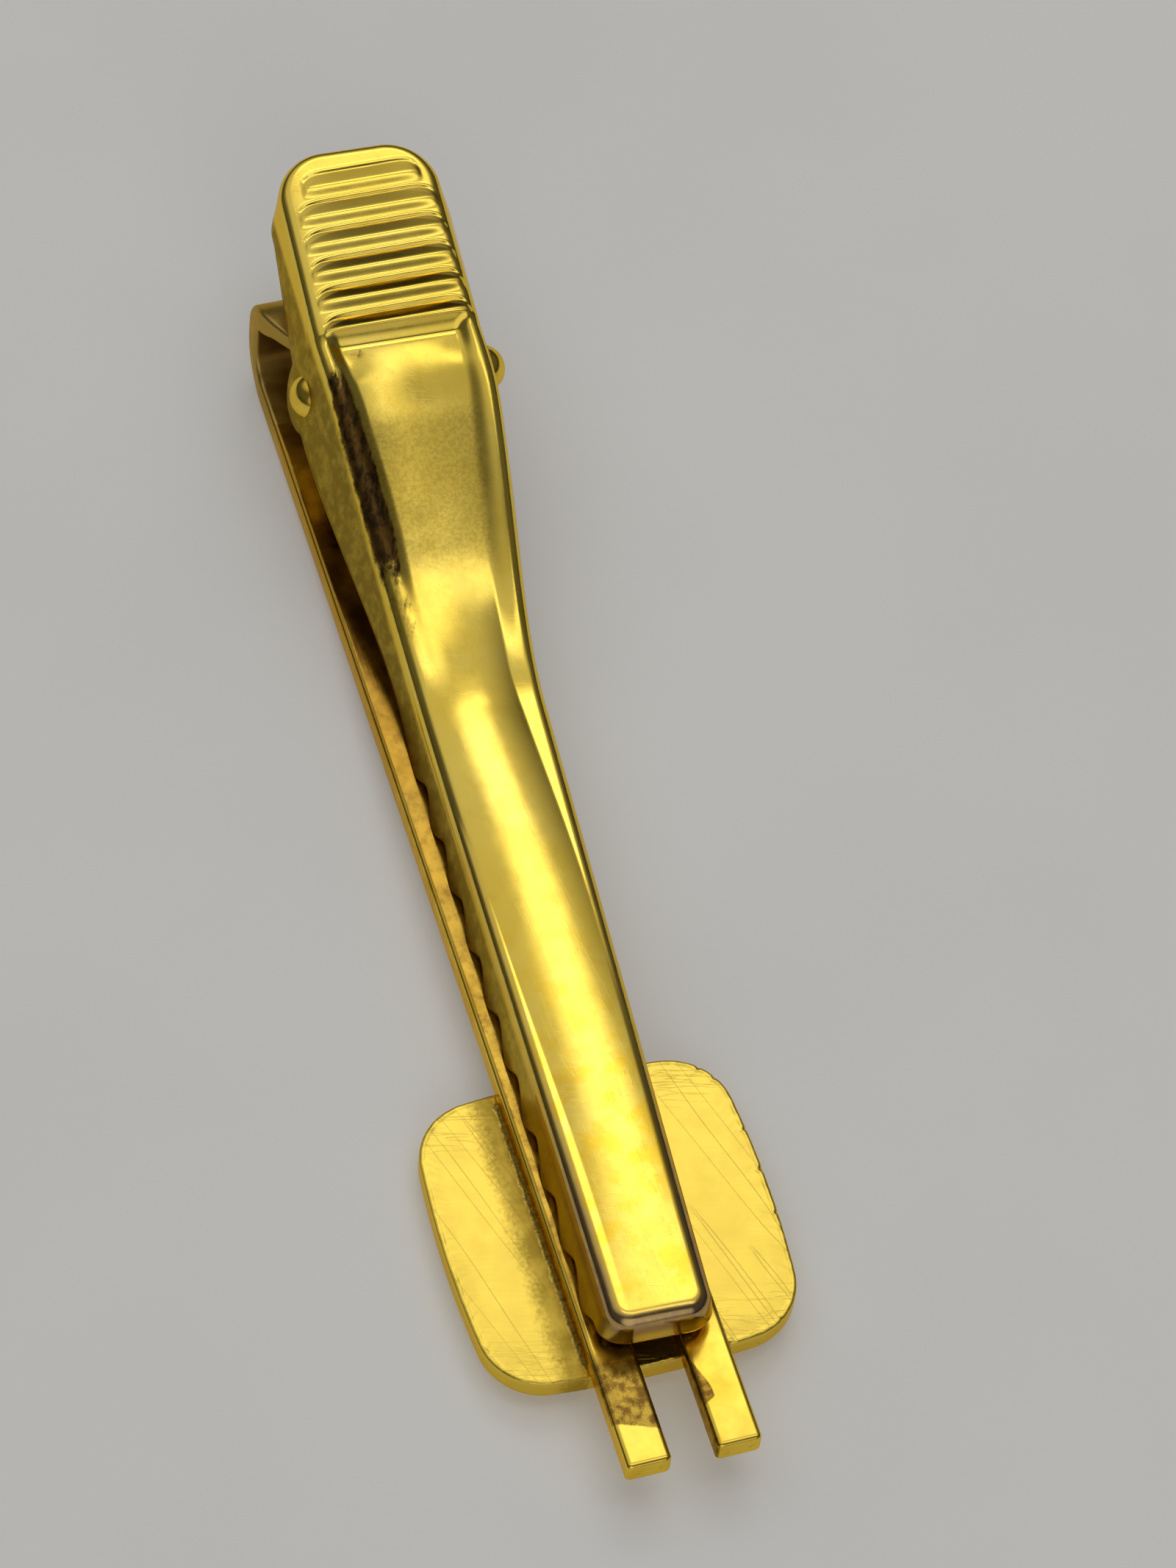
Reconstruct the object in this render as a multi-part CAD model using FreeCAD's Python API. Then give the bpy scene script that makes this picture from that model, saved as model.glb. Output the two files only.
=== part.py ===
import FreeCAD, Part
import math
import os

# Hinged tie clip lying on its front: a cushion shaped plate soldered to a two rail fork,
# a sprung lever with a ribbed thumb pad and toothed side walls, and the pin it turns on.
# Drawn with X along the lever from the bend towards the tip, Y along the hinge pin and Z up, with
# the front face of the plate at zero, then moved so that the origin is the middle of that face.
# All sizes are in millimetres.

Vec = FreeCAD.Vector

# Front plate
PLATE_SIDE = 13.2
PLATE_BULGE = 0.45
PLATE_CORNER_R = 2.6
PLATE_T = 1.3
PLATE_FRONT_EDGE_R = 0.5
PLATE_BACK_CHAMFER = 0.3
PLATE_FROM_END = 11.15

# Two rail fork, bent back on itself at the hinge end
STOCK_T = 1.1
FORK_LENGTH = 55.0
FORK_W = 5.4
RAIL_W = 1.8
SLOT_START_X = 4.2
STOCK_EDGE_R = 0.12
BEND_H = 5.5
BEND_OUTER_R = 2.3
# Turn of the fork under the lever, seen from above, and where its middle line crosses the lever's
FORK_TURN_DEG = 2.5
FORK_CROSS_X = 51.2

# Return leg, which comes back under the lever and carries the hinge ears
LEG_END_X = 9.7
LEG_DROP_PER_MM = 0.235
NECK_START_X = 4.1
NECK_W = 5.7
LEG_END_W = 4.8
LEG_OVERLAP = 0.02
EAR_T = 0.7
EAR_R = 1.1

# Hinge
PIN_X = 6.7
PIN_ABOVE_RAIL = 4.9
PIN_R = 0.42
RUN_CLEARANCE = 0.05
HEAD_R = 0.9
HEAD_H = 0.55
HEAD_SEAT = 0.2

# Lever, a pressed shell with flared side walls
SHEET_T = 0.5
TOP_EDGE_R = 0.5
PAD_EDGE_R = 0.8
PAD_END_X = -2.55
CREASE_X = 6.15
TIP_X = 50.1
SHOULDER_HALF_W = 3.5
PAD_END_HALF_W = 3.4
JAW_ROOT_HALF_W = 2.6
JAW_TIP_HALF_W = 2.1
SHOULDER_ABOVE_RAIL = 8.05
JAW_TOP_ABOVE_RAIL = 2.25
PAD_RISE_PER_MM = 0.137
PAD_CROWN = 0.06
TROUGH_DEPTH = 0.75
TROUGH_START_X = 10.15
TROUGH_END_X = 21.0
JAW_ROOT_CROWN = 0.22
JAW_TIP_CROWN = 0.03
DESCENT_START_X = 4.5
DESCENT_END_X = 22.0
NARROWING_START_X = 7.0
LEFT_FLARE = 0.27
RIGHT_FLARE = 0.15
PAD_END_R = 2.1
PAD_WALL_H = 2.3
TIP_CORNER_R = 0.8
TIP_NOSE_R = 0.7
LUG_R = 1.65
LUG_FRONT_DEG = 55.0
PAD_NOSE_R = 0.7
JAW_START_RISE = 0.2
TRIM_MARGIN = 0.4
CREASE_OVERLAP = 0.1
NECK_STATIONS = 5

# Thumb grip ribs and jaw teeth
RIB_COUNT = 6
RIB_PITCH = 1.35
FIRST_RIB_X = -0.8
RIB_DEPTH = 0.3
RIB_RAMP_RUN = 0.6
RIB_DROP_RUN = 0.12
TOOTH_COUNT = 10
TOOTH_PITCH = 2.8
TOOTH_DEPTH = 0.6
TOOTH_STEEP_RUN = 1.1
FIRST_TOOTH_X = 22.9
TOOTH_ABOVE_RAIL = 0.1

# Torsion spring round the pin, with both arms under the thumb pad
WIRE_R = 0.19
COIL_CLEARANCE = 0.05
COIL_TURNS = 1.5
COIL_PITCH = 0.9
BIARCS_PER_TURN = 2
GAP_SAMPLES = 400
LOWER_ARM_X = 3.3
UPPER_ARM_X = 1.2
ARM_CLEARANCE = 0.05

# Solder runs where the rails lie on the plate
SOLDER_LEG = 0.42
SOLDER_LENGTH = 12.4

PLATE_CENTRE_X = FORK_LENGTH - PLATE_FROM_END
RAIL_BOTTOM_Z = PLATE_T
RAIL_TOP_Z = PLATE_T + STOCK_T
PIN_Z = RAIL_TOP_Z + PIN_ABOVE_RAIL
BEND_TOP_Z = RAIL_BOTTOM_Z + BEND_H
BEND_INNER_R = BEND_OUTER_R - STOCK_T
COIL_R = PIN_R + COIL_CLEARANCE + WIRE_R
DIAGONAL = 1 / math.sqrt(2)
SKY_Z = 2 * PIN_Z
WIDE = 2 * PLATE_SIDE
TINY = 1e-6


def smooth(x, start, end):
    """Rise from 0 to 1 between two places, level at both."""
    s = min(1.0, max(0.0, (x - start) / (end - start)))
    return s * s * (3.0 - 2.0 * s)


def blend(a, b, share):
    return a + (b - a) * share


def line(a, b):
    return Part.makeLine(a, b)


def arc(a, middle, b):
    return Part.Arc(a, middle, b).toShape()


def prism_y(edges, half_width=WIDE):
    """Solid from a closed outline in the XZ plane, as wide on both sides of it."""
    face = Part.Face(Part.Wire(edges))
    face.translate(Vec(0, -half_width, 0))
    return face.extrude(Vec(0, 2 * half_width, 0))


def prism_z(edges, low, high):
    """Solid from a closed outline in the XY plane between two heights."""
    face = Part.Face(Part.Wire(edges))
    face.translate(Vec(0, 0, low))
    return face.extrude(Vec(0, 0, high - low))


def polygon(points):
    return Part.makePolygon(points + [points[0]]).Edges


def rounded_outline(points, radii):
    """Polygon with a radius at each corner, as edges."""
    count = len(points)
    cuts = []
    for i, corner in enumerate(points):
        radius = radii[i]
        back = (points[i - 1] - corner).normalize()
        ahead = (points[(i + 1) % count] - corner).normalize()
        half = back.getAngle(ahead) / 2
        run = radius / math.tan(half)
        middle = corner + (back + ahead).normalize() * (radius / math.sin(half) - radius)
        cuts.append((corner + back * run, middle, corner + ahead * run))
    edges = []
    for i, (start, middle, end) in enumerate(cuts):
        edges.append(arc(start, middle, end))
        edges.append(line(end, cuts[(i + 1) % count][0]))
    return edges


def to_fork_place(shape):
    """Turn a shape drawn straight along X into the fork's place under the lever."""
    placed = shape.copy()
    placed.rotate(Vec(FORK_CROSS_X, 0, 0), Vec(0, 0, 1), FORK_TURN_DEG)
    return placed


def fork_line_y(x):
    """Middle line of the fork at a place along the lever."""
    return (x - FORK_CROSS_X) * math.tan(math.radians(FORK_TURN_DEG))


def make_plate():
    """Cushion outline: four bowed sides with rounded corners."""
    half = PLATE_SIDE / 2
    corner = half - PLATE_BULGE
    corners = [Vec(sx * corner, sy * corner, 0) for sx, sy in ((-1, -1), (1, -1), (1, 1), (-1, 1))]
    middles = [Vec(0, -half, 0), Vec(half, 0, 0), Vec(0, half, 0), Vec(-half, 0, 0)]
    sides = [arc(corners[i], middles[i], corners[(i + 1) % 4]) for i in range(4)]
    face = Part.Face(Part.Wire(sides))
    solid = face.extrude(Vec(0, 0, PLATE_T))
    uprights = [e for e in solid.Edges if abs(e.Vertexes[0].Z - e.Vertexes[-1].Z) > PLATE_T / 2]
    solid = solid.makeFillet(PLATE_CORNER_R, uprights)
    front = [e for e in solid.Edges if e.BoundBox.ZMax < PLATE_T / 2]
    solid = solid.makeFillet(PLATE_FRONT_EDGE_R, front)
    back = [e for e in solid.Edges if e.BoundBox.ZMin > PLATE_T - PLATE_BACK_CHAMFER / 2]
    solid = solid.makeChamfer(PLATE_BACK_CHAMFER, back)
    solid.translate(Vec(PLATE_CENTRE_X, 0, 0))
    return to_fork_place(solid)


def leg_top_z(x):
    return BEND_TOP_Z - (x - BEND_OUTER_R) * LEG_DROP_PER_MM


def make_bend_strip():
    """Side view of the bend, from the rails round to the start of the return leg."""
    low = RAIL_BOTTOM_Z
    centre_low = Vec(BEND_OUTER_R, 0, low + BEND_OUTER_R)
    centre_high = Vec(BEND_OUTER_R, 0, BEND_TOP_Z - BEND_OUTER_R)

    def quarter(centre, radius, side):
        return centre + Vec(-DIAGONAL * radius, 0, side * DIAGONAL * radius)

    outer = [
        line(Vec(SLOT_START_X, 0, low), Vec(BEND_OUTER_R, 0, low)),
        arc(Vec(BEND_OUTER_R, 0, low), quarter(centre_low, BEND_OUTER_R, -1),
            Vec(0, 0, centre_low.z)),
        line(Vec(0, 0, centre_low.z), Vec(0, 0, centre_high.z)),
        arc(Vec(0, 0, centre_high.z), quarter(centre_high, BEND_OUTER_R, 1),
            Vec(BEND_OUTER_R, 0, BEND_TOP_Z)),
        line(Vec(BEND_OUTER_R, 0, BEND_TOP_Z), Vec(BEND_OUTER_R, 0, BEND_TOP_Z - STOCK_T)),
    ]
    inner = [
        arc(Vec(BEND_OUTER_R, 0, BEND_TOP_Z - STOCK_T), quarter(centre_high, BEND_INNER_R, 1),
            Vec(STOCK_T, 0, centre_high.z)),
        line(Vec(STOCK_T, 0, centre_high.z), Vec(STOCK_T, 0, centre_low.z)),
        arc(Vec(STOCK_T, 0, centre_low.z), quarter(centre_low, BEND_INNER_R, -1),
            Vec(BEND_OUTER_R, 0, RAIL_TOP_Z)),
        line(Vec(BEND_OUTER_R, 0, RAIL_TOP_Z), Vec(SLOT_START_X, 0, RAIL_TOP_Z)),
        line(Vec(SLOT_START_X, 0, RAIL_TOP_Z), Vec(SLOT_START_X, 0, low)),
    ]
    return to_fork_place(prism_y(outer + inner, FORK_W / 2))


def make_rail(side):
    middle = side * (FORK_W - RAIL_W) / 2
    rail = Part.makeBox(FORK_LENGTH - SLOT_START_X, RAIL_W, STOCK_T,
                        Vec(SLOT_START_X, middle - RAIL_W / 2, RAIL_BOTTOM_Z))
    along = [e for e in rail.Edges if e.BoundBox.XLength > RAIL_W]
    return to_fork_place(rail.makeFillet(STOCK_EDGE_R, along))


def make_return_leg():
    """Sloping leg from the bend to past the pin, drawn in from the fork to the hinge."""
    start = BEND_OUTER_R - LEG_OVERLAP
    side_view = polygon([
        Vec(start, 0, BEND_TOP_Z),
        Vec(BEND_OUTER_R, 0, BEND_TOP_Z),
        Vec(LEG_END_X, 0, leg_top_z(LEG_END_X)),
        Vec(LEG_END_X, 0, leg_top_z(LEG_END_X) - STOCK_T),
        Vec(BEND_OUTER_R, 0, BEND_TOP_Z - STOCK_T),
        Vec(start, 0, BEND_TOP_Z - STOCK_T),
    ])
    root_y = fork_line_y(start)
    plan = prism_z(polygon([
        Vec(start, root_y - FORK_W / 2, 0),
        Vec(NECK_START_X, -NECK_W / 2, 0),
        Vec(PIN_X + EAR_R, -NECK_W / 2, 0),
        Vec(LEG_END_X, -LEG_END_W / 2, 0),
        Vec(LEG_END_X, LEG_END_W / 2, 0),
        Vec(PIN_X + EAR_R, NECK_W / 2, 0),
        Vec(NECK_START_X, NECK_W / 2, 0),
        Vec(start, root_y + FORK_W / 2, 0),
    ]), 0, SKY_Z)
    return prism_y(side_view).common(plan)


def make_ear(side):
    """Round tab turned up at one edge of the return leg, with the hole for the pin."""
    foot_z = leg_top_z(PIN_X) - STOCK_T / 2
    outline = [
        line(Vec(PIN_X - EAR_R, 0, foot_z), Vec(PIN_X - EAR_R, 0, PIN_Z)),
        arc(Vec(PIN_X - EAR_R, 0, PIN_Z), Vec(PIN_X, 0, PIN_Z + EAR_R), Vec(PIN_X + EAR_R, 0, PIN_Z)),
        line(Vec(PIN_X + EAR_R, 0, PIN_Z), Vec(PIN_X + EAR_R, 0, foot_z)),
        line(Vec(PIN_X + EAR_R, 0, foot_z), Vec(PIN_X - EAR_R, 0, foot_z)),
    ]
    ear = prism_y(outline, EAR_T / 2)
    ear.translate(Vec(0, side * (NECK_W - EAR_T) / 2, 0))
    return ear


def make_fork():
    """Rails, bend, return leg and ears, stamped from one piece of stock."""
    pieces = [make_rail(-1), make_rail(1), make_return_leg(), make_ear(-1), make_ear(1)]
    fork = make_bend_strip().fuse(pieces).removeSplitter()
    hole = Part.makeCylinder(PIN_R + RUN_CLEARANCE, WIDE, Vec(PIN_X, -WIDE / 2, PIN_Z), Vec(0, 1, 0))
    return fork.cut(hole)


def shoulder_z(x):
    """Height of the lever's top edges from the crease to the tip."""
    fall = smooth(x, DESCENT_START_X, DESCENT_END_X)
    return RAIL_TOP_Z + blend(SHOULDER_ABOVE_RAIL, JAW_TOP_ABOVE_RAIL, fall)


def body_half_w(x):
    narrow = smooth(x, NARROWING_START_X, DESCENT_END_X)
    taper = max(0.0, x - DESCENT_END_X) / (TIP_X - DESCENT_END_X)
    root = blend(SHOULDER_HALF_W, JAW_ROOT_HALF_W, narrow)
    return root - taper * (JAW_ROOT_HALF_W - JAW_TIP_HALF_W)


def trough(x):
    """Depth of the top's middle below its edges: a hollow at the neck, a slight crown on the jaw."""
    along_jaw = max(0.0, x - DESCENT_END_X) / (TIP_X - DESCENT_END_X)
    crown = blend(JAW_ROOT_CROWN, JAW_TIP_CROWN, along_jaw)
    return blend(TROUGH_DEPTH, -crown, smooth(x, TROUGH_START_X, TROUGH_END_X))


def pad_z(x):
    return RAIL_TOP_Z + SHOULDER_ABOVE_RAIL + (CREASE_X - x) * PAD_RISE_PER_MM


def pad_half_w(x):
    return blend(PAD_END_HALF_W, SHOULDER_HALF_W, (x - PAD_END_X) / (CREASE_X - PAD_END_X))


def wall_flare(side):
    """Lean of a side wall, outwards per millimetre down."""
    return LEFT_FLARE if side < 0 else RIGHT_FLARE


def outer_section(x, half_w, top_z, middle_z, edge_r):
    """Outside of the lever across X: flared walls, rounded shoulders and a bowed top."""
    knee_z = top_z - edge_r
    bend = edge_r * (1 - DIAGONAL)
    points = []
    for side in (-1, 1):
        foot = half_w + wall_flare(side) * (knee_z - RAIL_BOTTOM_Z)
        points.append((
            Vec(x, side * foot, RAIL_BOTTOM_Z),
            Vec(x, side * half_w, knee_z),
            Vec(x, side * (half_w - bend), top_z - bend),
            Vec(x, side * (half_w - edge_r), top_z),
        ))
    left, right = points
    return Part.Wire([
        line(left[0], left[1]),
        arc(left[1], left[2], left[3]),
        arc(left[3], Vec(x, 0, middle_z), right[3]),
        arc(right[3], right[2], right[1]),
        line(right[1], right[0]),
        line(right[0], left[0]),
    ])


def inner_section(x, half_w, top_z, middle_z, edge_r):
    """Inside of the lever across X, one sheet in from the outside, with bends of no radius."""
    top = top_z - SHEET_T
    edge = half_w - SHEET_T
    low = []
    high = []
    for side in (-1, 1):
        foot = edge + wall_flare(side) * (top - RAIL_BOTTOM_Z)
        low.append(Vec(x, side * foot, RAIL_BOTTOM_Z))
        high.append(Vec(x, side * edge, top))
    return Part.Wire([
        line(low[0], high[0]),
        arc(high[0], Vec(x, 0, middle_z - SHEET_T), high[1]),
        line(high[1], low[1]),
        line(low[1], low[0]),
    ])


def body_section(x, section):
    top = shoulder_z(x)
    return section(x, body_half_w(x), top, top - trough(x), TOP_EDGE_R)


def neck_solid(section, start):
    """Lever from the crease down to the flat jaw, lofted through even stations."""
    wires = []
    for i in range(NECK_STATIONS):
        x = blend(start, DESCENT_END_X, i / (NECK_STATIONS - 1))
        wires.append(body_section(x, section))
    return Part.makeLoft(wires, True, False)


def jaw_solid(section, end):
    """Straight tapered stretch from the end of the neck to the tip."""
    wires = [body_section(DESCENT_END_X, section), body_section(end, section)]
    return Part.makeLoft(wires, True, True)


def pad_solid(section, start, end):
    """Lever from the thumb end to the crease, before its ribs."""
    wires = []
    for x in (start, end):
        wires.append(section(x, pad_half_w(x), pad_z(x), pad_z(x) + PAD_CROWN, PAD_EDGE_R))
    return Part.makeLoft(wires, True, True)


def tooth_edge():
    """Lower edge of the jaw: rounded teeth, each steeper on the side towards the tip."""
    crest_z = RAIL_TOP_Z + TOOTH_ABOVE_RAIL
    points = [Vec(FIRST_TOOTH_X - TOOTH_PITCH + TOOTH_STEEP_RUN, 0, crest_z + JAW_START_RISE)]
    for i in range(TOOTH_COUNT):
        crest_x = FIRST_TOOTH_X + i * TOOTH_PITCH
        points.append(Vec(crest_x, 0, crest_z))
        points.append(Vec(crest_x + TOOTH_STEEP_RUN, 0, crest_z + TOOTH_DEPTH))
    along = Vec(1, 0, 0)
    edges = []
    for a, b in zip(points, points[1:]):
        edges += biarc(a, along, b, along)
    return edges, points[0], points[-1]


def lever_side_view():
    """Everything between the lower edge of the walls and well above the lever."""
    teeth, first, last = tooth_edge()
    nose_z = RAIL_TOP_Z + JAW_TOP_ABOVE_RAIL
    foot = Vec(TIP_X, 0, last.z)
    nose = Vec(TIP_X, 0, nose_z - TIP_NOSE_R)
    nose_in = TIP_NOSE_R * (1 - DIAGONAL)
    nose_middle = Vec(TIP_X - nose_in, 0, nose_z - nose_in)
    nose_top = Vec(TIP_X - TIP_NOSE_R, 0, nose_z)
    roof = [Vec(TIP_X - TIP_NOSE_R, 0, SKY_Z), Vec(PAD_END_X + PAD_NOSE_R, 0, SKY_Z)]
    pad_top_z = pad_z(PAD_END_X) + PAD_CROWN
    pad_nose_top = Vec(PAD_END_X + PAD_NOSE_R, 0, pad_top_z)
    pad_nose_in = PAD_NOSE_R * (1 - DIAGONAL)
    pad_nose_middle = Vec(PAD_END_X + pad_nose_in, 0, pad_top_z - pad_nose_in)
    pad_nose = Vec(PAD_END_X, 0, pad_top_z - PAD_NOSE_R)
    pad_foot = Vec(PAD_END_X, 0, pad_z(PAD_END_X) - PAD_WALL_H)
    pad_low = Vec(0, 0, pad_z(0) - PAD_WALL_H)
    lug_back = Vec(PIN_X - LUG_R, 0, PIN_Z)
    lug_low = Vec(PIN_X, 0, PIN_Z - LUG_R)
    turn = math.radians(LUG_FRONT_DEG)
    lug_front = Vec(PIN_X + LUG_R * math.cos(turn), 0, PIN_Z - LUG_R * math.sin(turn))
    return teeth + [
        line(last, foot),
        line(foot, nose),
        arc(nose, nose_middle, nose_top),
        line(nose_top, roof[0]),
        line(roof[0], roof[1]),
        line(roof[1], pad_nose_top),
        arc(pad_nose_top, pad_nose_middle, pad_nose),
        line(pad_nose, pad_foot),
        line(pad_foot, pad_low),
        line(pad_low, lug_back),
        arc(lug_back, lug_low, lug_front),
        line(lug_front, first),
    ]


def lever_plan(inset):
    """Outline seen from above: a rounded thumb end and a blunt rounded tip."""
    wide = 2 * SHOULDER_HALF_W
    pad_x = PAD_END_X + inset
    pad_w = PAD_END_HALF_W - inset
    tip_x = TIP_X - inset
    tip_w = JAW_TIP_HALF_W + LEFT_FLARE * JAW_TOP_ABOVE_RAIL - inset
    points = [
        Vec(pad_x, -pad_w, 0),
        Vec(PIN_X, -wide, 0),
        Vec(tip_x, -tip_w, 0),
        Vec(tip_x, tip_w, 0),
        Vec(PIN_X, wide, 0),
        Vec(pad_x, pad_w, 0),
    ]
    pad_r = PAD_END_R - inset
    tip_r = TIP_CORNER_R - inset
    radii = [pad_r, PAD_END_R, tip_r, tip_r, PAD_END_R, pad_r]
    return prism_z(rounded_outline(points, radii), 0, SKY_Z)


def rib_grooves():
    """Pressed steps across the pad: a short drop, then a ramp up to the ridge."""
    grooves = []
    for i in range(RIB_COUNT):
        ridge_x = FIRST_RIB_X + i * RIB_PITCH
        valley_x = ridge_x - RIB_RAMP_RUN
        drop_x = valley_x - RIB_DROP_RUN
        grooves.append(prism_y(polygon([
            Vec(drop_x, 0, pad_z(drop_x) + PAD_CROWN),
            Vec(valley_x, 0, pad_z(valley_x) + PAD_CROWN - RIB_DEPTH),
            Vec(ridge_x, 0, pad_z(ridge_x) + PAD_CROWN),
            Vec(ridge_x, 0, SKY_Z),
            Vec(drop_x, 0, SKY_Z),
        ])))
    return grooves


def make_shell():
    """Pressed shell: pad, neck and jaw, hollowed, trimmed to its outlines and ribbed."""
    outer = neck_solid(outer_section, CREASE_X - CREASE_OVERLAP)
    outer = outer.fuse([
        pad_solid(outer_section, PAD_END_X - TRIM_MARGIN, CREASE_X),
        jaw_solid(outer_section, TIP_X + TRIM_MARGIN),
    ])
    riser_x = CREASE_X - SHEET_T
    hollow = neck_solid(inner_section, riser_x - CREASE_OVERLAP)
    hollow = hollow.fuse([
        pad_solid(inner_section, PAD_END_X, riser_x),
        jaw_solid(inner_section, TIP_X),
    ])
    shell = outer.cut(hollow.common(lever_plan(SHEET_T)))
    shell = shell.common(prism_y(lever_side_view())).common(lever_plan(0))
    return shell.cut(rib_grooves())


def make_lever(shell):
    """The shell with a hole through both walls that holds the pin fast."""
    hole = Part.makeCylinder(PIN_R, WIDE, Vec(PIN_X, -WIDE / 2, PIN_Z), Vec(0, 1, 0))
    return shell.cut(hole)


def wall_y_at_pin(side):
    knee_z = shoulder_z(PIN_X) - TOP_EDGE_R
    return side * (body_half_w(PIN_X) + wall_flare(side) * (knee_z - PIN_Z))


def make_pin(shell):
    """Pin with a domed head square against the outside of each flared lever wall."""
    start = wall_y_at_pin(-1) - HEAD_SEAT
    length = wall_y_at_pin(1) + HEAD_SEAT - start
    pin = Part.makeCylinder(PIN_R, length, Vec(PIN_X, start, PIN_Z), Vec(0, 1, 0))
    dome_r = (HEAD_R ** 2 + HEAD_H ** 2) / (2 * HEAD_H)
    for side in (-1, 1):
        base = Vec(PIN_X, wall_y_at_pin(side), PIN_Z)
        outward = Vec(0, side, wall_flare(side)).normalize()
        rim = Part.makeCylinder(HEAD_R, HEAD_SEAT + HEAD_H, base - outward * HEAD_SEAT, outward)
        dome = Part.makeSphere(dome_r, base - outward * (dome_r - HEAD_H))
        head = dome.common(rim).cut(shell)
        pin = pin.fuse(head)
    return pin


def arc_from(start, tangent, end):
    """Arc that leaves a point along a direction and ends at another point."""
    chord = end - start
    across = chord - tangent * chord.dot(tangent)
    if across.Length < TINY:
        return line(start, end)
    across.normalize()
    radius = chord.Length ** 2 / (2 * chord.dot(across))
    centre = start + across * radius
    middle = (start + end) * 0.5 - centre
    if chord.dot(tangent) < 0:
        middle = middle * -1
    return arc(start, centre + middle.normalize() * abs(radius), end)


def biarc(a, ta, b, tb):
    """Two arcs that join smoothly between two points with given directions."""
    v = b - a
    t = ta + tb
    k = 2 * (1 - ta.dot(tb))
    vt = v.dot(t)
    if k < TINY:
        d = v.dot(v) / (2 * vt)
    else:
        d = (-vt + math.sqrt(vt * vt + k * v.dot(v))) / k
    joint = (a + b + (ta - tb) * d) * 0.5
    leave = joint - (a + ta * d)
    leave.normalize()
    return [arc_from(a, ta, joint), arc_from(joint, leave, b)]


def coil_point(angle):
    along = -COIL_TURNS * COIL_PITCH / 2 + COIL_PITCH * angle / (2 * math.pi)
    return Vec(PIN_X + COIL_R * math.sin(angle), along, PIN_Z - COIL_R * math.cos(angle))


def coil_tangent(angle):
    tangent = Vec(COIL_R * math.cos(angle), COIL_PITCH / (2 * math.pi), COIL_R * math.sin(angle))
    return tangent.normalize()


def least_gap(path):
    """Least space between two stretches of the wire, measured on points along its middle line."""
    points = path.discretize(Number=GAP_SAMPLES)
    step = path.Length / (GAP_SAMPLES - 1)
    apart = int(math.ceil(math.pi * COIL_R / step))
    gaps = []
    for i, here in enumerate(points):
        for there in points[i + apart:]:
            gaps.append(here.distanceToPoint(there) - 2 * WIRE_R)
    return min(gaps)


def make_spring():
    """Coil round the pin, with one arm on the return leg and one under the thumb pad."""
    last = 2 * math.pi * COIL_TURNS
    first_point, last_point = coil_point(0), coil_point(last)
    rest_z = leg_top_z(LOWER_ARM_X) + (WIRE_R + ARM_CLEARANCE)
    lower_end = Vec(LOWER_ARM_X, first_point.y, rest_z)
    under_pad_z = pad_z(UPPER_ARM_X) - SHEET_T - WIRE_R - ARM_CLEARANCE
    upper_end = Vec(UPPER_ARM_X, last_point.y, under_pad_z)
    lower_dir = Vec(1, 0, -LEG_DROP_PER_MM).normalize()
    upper_dir = (upper_end - last_point).normalize()
    edges = biarc(lower_end, lower_dir, first_point, coil_tangent(0))
    count = int(round(COIL_TURNS * BIARCS_PER_TURN))
    for i in range(count):
        a = last * i / count
        b = last * (i + 1) / count
        edges += biarc(coil_point(a), coil_tangent(a), coil_point(b), coil_tangent(b))
    edges += biarc(last_point, coil_tangent(last), upper_end, upper_dir)
    path = Part.Wire(edges)
    circle = Part.Wire([Part.makeCircle(WIRE_R, lower_end, lower_dir)])
    spring = path.makePipeShell([circle], True, False)
    print("least gap of the spring to itself", round(least_gap(path), 3), "mm")
    return spring


def make_solder(side):
    """Hollow run of solder in the corner between a rail and the plate."""
    edge_y = side * FORK_W / 2
    outer_y = edge_y + side * SOLDER_LEG
    start_x = PLATE_CENTRE_X - SOLDER_LENGTH / 2
    corner = Vec(start_x, edge_y, RAIL_BOTTOM_Z)
    top = Vec(start_x, edge_y, RAIL_BOTTOM_Z + SOLDER_LEG)
    toe = Vec(start_x, outer_y, RAIL_BOTTOM_Z)
    sag = SOLDER_LEG * (1 - DIAGONAL)
    middle = Vec(start_x, edge_y + side * sag, RAIL_BOTTOM_Z + sag)
    face = Part.Face(Part.Wire([line(corner, top), arc(top, middle, toe), line(toe, corner)]))
    return to_fork_place(face.extrude(Vec(SOLDER_LENGTH, 0, 0)))


def origin():
    """Middle of the plate's front face, in the place where the fork lies."""
    turn = math.radians(FORK_TURN_DEG)
    reach = PLATE_CENTRE_X - FORK_CROSS_X
    return Vec(FORK_CROSS_X + reach * math.cos(turn), reach * math.sin(turn), 0)


def main():
    shell = make_shell()
    nodes = {
        "front_plate": make_plate(),
        "front_fork": make_fork(),
        "clamp_lever": make_lever(shell),
        "hinge_pin": make_pin(shell),
        "torsion_spring": make_spring(),
        "solder_left": make_solder(-1),
        "solder_right": make_solder(1),
    }
    zero = origin()
    print("pin axis at", Vec(PIN_X, 0, PIN_Z) - zero)
    os.makedirs("parts", exist_ok=True)
    for name, shape in nodes.items():
        shape.translate(zero.negative())
        box = shape.BoundBox
        size = (round(box.XLength, 2), round(box.YLength, 2), round(box.ZLength, 2))
        print(name, "solids", len(shape.Solids), "valid", shape.isValid(), "size", size)
        shape.exportStep("parts/" + name + ".step")


main()
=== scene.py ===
import math

import bmesh
import bpy
import numpy as np
from mathutils import Euler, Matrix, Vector, noise


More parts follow.
